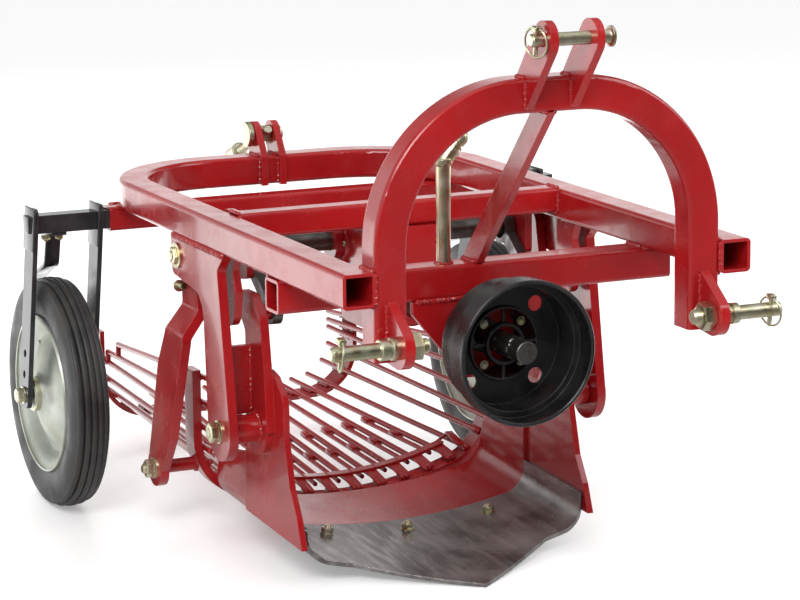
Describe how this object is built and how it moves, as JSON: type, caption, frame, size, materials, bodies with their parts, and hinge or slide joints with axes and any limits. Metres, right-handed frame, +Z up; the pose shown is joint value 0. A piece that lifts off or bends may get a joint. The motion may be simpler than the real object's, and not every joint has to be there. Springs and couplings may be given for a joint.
{
  "type": "potato digger",
  "caption": "Towed single-row vibrating potato digger for a three-point linkage, with a pointed share, a rod sieve and side gauge wheels.",
  "frame": {"origin": "on the ground under the middle of the machine's bounding box", "axes": "+X to the right seen from the tractor, +Y rearwards, +Z up"},
  "size_m": [0.988, 1.4354, 0.889],
  "materials": {
    "frame_paint": "gloss red enamel",
    "black_coat": "satin black powder coat",
    "zinc": "yellow zinc plating",
    "rim_zinc": "pressed steel, zinc plated",
    "shaft_steel": "bare machined steel",
    "blade_steel": "dark hardened steel with a satin black coat",
    "guard_plastic": "black moulded plastic",
    "tyre_rubber": "solid black rubber"
  },
  "bodies": {
    "frame": {"main_frame": "frame_paint", "mast_arch": "frame_paint", "front_cross_tube": "frame_paint", "mid_cross_tube": "frame_paint", "gauge_tube": "frame_paint", "top_link_ears": "frame_paint", "top_link_pin": "zinc", "mast_brace": "frame_paint", "mast_prop": "zinc", "drive_bracket": "frame_paint", "pto_guard": "guard_plastic", "gearbox": "frame_paint", "crankshaft": "shaft_steel", "rear_clevis": "frame_paint", "levelling_screw": "zinc", "hitch_plate_left": "frame_paint", "hitch_plate_right": "frame_paint", "hitch_pin_left": "zinc", "hitch_pin_right": "zinc", "hanger_left": "frame_paint", "hanger_right": "frame_paint", "pivot_lug_left": "frame_paint", "pivot_lug_right": "frame_paint", "crank_plate_left": "frame_paint", "crank_plate_right": "frame_paint", "wheel_fork_left": "black_coat", "wheel_fork_right": "black_coat", "scraper_left": "black_coat", "scraper_right": "black_coat"},
    "pto": {"pto_shaft": "shaft_steel"},
    "share": {"share_side_left": "frame_paint", "share_side_right": "frame_paint", "share_trough": "frame_paint", "share_blade": "blade_steel"},
    "sieve": {"rocker_arm_left": "frame_paint", "rocker_arm_right": "frame_paint", "sieve_front_bar": "frame_paint", "sieve_rear_bar": "frame_paint", "sieve_comb": "frame_paint", "floor_rods": "frame_paint", "side_rods_left": "frame_paint", "side_rods_right": "frame_paint"},
    "rod_left": {"connecting_rod_left": "shaft_steel"},
    "rod_right": {"connecting_rod_right": "shaft_steel"},
    "wheel_left": {"tyre_left": "tyre_rubber", "rim_left": "rim_zinc"},
    "wheel_right": {"tyre_right": "tyre_rubber", "rim_right": "rim_zinc"}
  },
  "joints": [
    {"name": "wheel_spin_left", "type": "hinge", "parent": "frame", "child": "wheel_left", "pos_m": [-0.425, 0.3275, 0.192], "axis": [1, 0, 0], "continuous": true},
    {"name": "wheel_spin_right", "type": "hinge", "parent": "frame", "child": "wheel_right", "pos_m": [0.369, 0.3275, 0.192], "axis": [1, 0, 0], "continuous": true},
    {"name": "pto_spin", "type": "hinge", "parent": "frame", "child": "pto", "pos_m": [0, -0.5625, 0.391], "axis": [0, 1, 0], "continuous": true},
    {"name": "share_shake", "type": "hinge", "parent": "frame", "child": "share", "pos_m": [0, -0.1565, 0.219], "axis": [1, 0, 0], "range_deg": [-1.2, 1.2]},
    {"name": "sieve_shake", "type": "hinge", "parent": "frame", "child": "sieve", "pos_m": [0, 0.0125, 0.467], "axis": [1, 0, 0], "range_deg": [-0.6, 0.6]},
    {"name": "rod_swing_left", "type": "hinge", "parent": "share", "child": "rod_left", "pos_m": [-0.22748, -0.1445, 0.397], "axis": [1, 0, 0], "range_deg": [-2.4, 2.4]},
    {"name": "rod_swing_right", "type": "hinge", "parent": "share", "child": "rod_right", "pos_m": [0.22748, -0.1445, 0.397], "axis": [1, 0, 0], "range_deg": [-2.4, 2.4]}
  ],
  "couplings": [
    {"joint": "sieve_shake", "follows": "share_shake", "ratio": -0.4},
    {"joint": "rod_swing_left", "follows": "share_shake", "ratio": -1.8047},
    {"joint": "rod_swing_right", "follows": "share_shake", "ratio": -1.8047}
  ]
}
